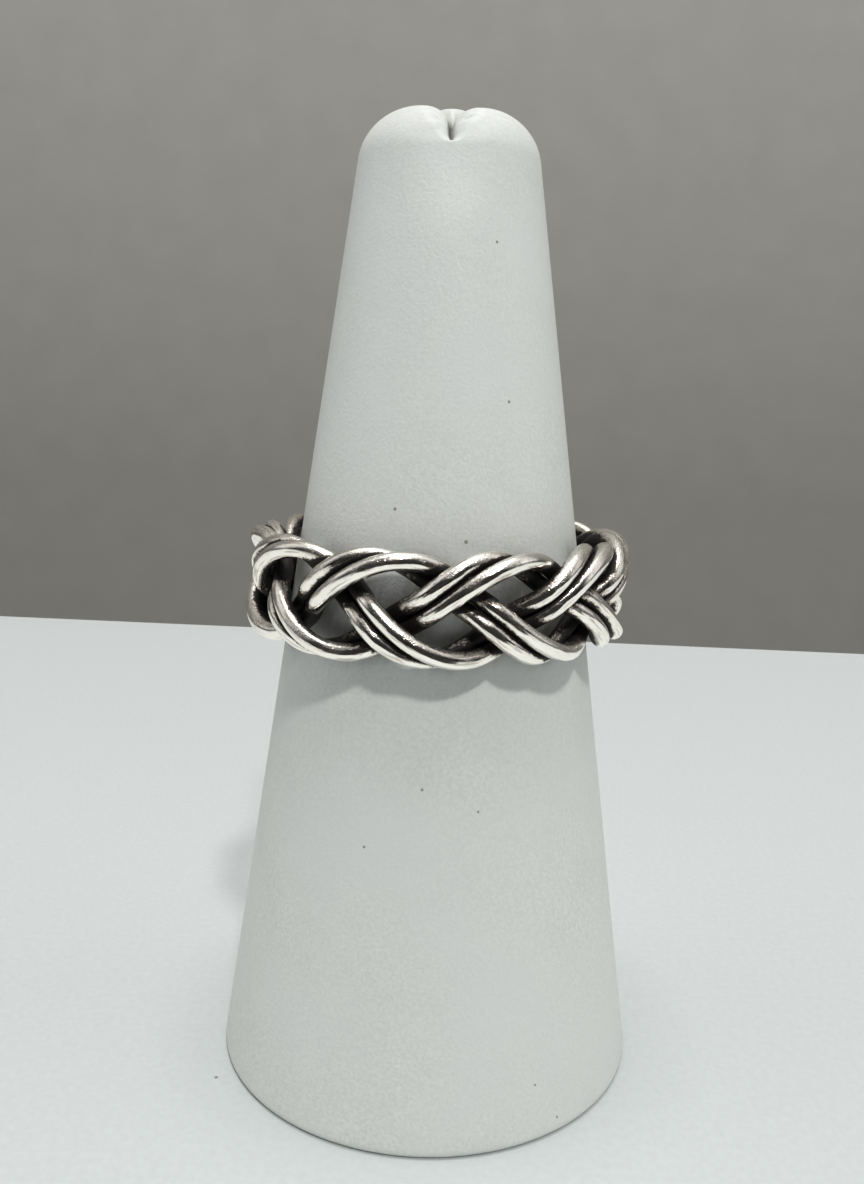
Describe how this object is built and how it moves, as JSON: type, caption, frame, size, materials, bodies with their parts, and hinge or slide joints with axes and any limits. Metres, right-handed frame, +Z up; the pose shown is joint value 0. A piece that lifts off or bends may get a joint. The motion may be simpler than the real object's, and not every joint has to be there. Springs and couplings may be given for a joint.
{
  "type": "braided band ring on a ring cone stand",
  "caption": "Flat plaited ring of paired round silver wires with eye-shaped gaps, seated on a tapered leatherette ring cone with a gathered top.",
  "frame": {"origin": "centre of the ring cone's foot, on the surface that it stands on", "axes": "+Z up along the axis of the cone and of the ring, -Y towards the front that the picture shows"},
  "size_m": [0.0252, 0.0252, 0.0554],
  "materials": {
    "silver": "polished sterling silver with blackened recesses and fine pits",
    "leatherette": "matt off-white leatherette with a fine grain"
  },
  "bodies": {
    "root": {"inner_wire": "silver", "outer_wire": "silver", "ring_cone": "leatherette"}
  },
  "joints": []
}
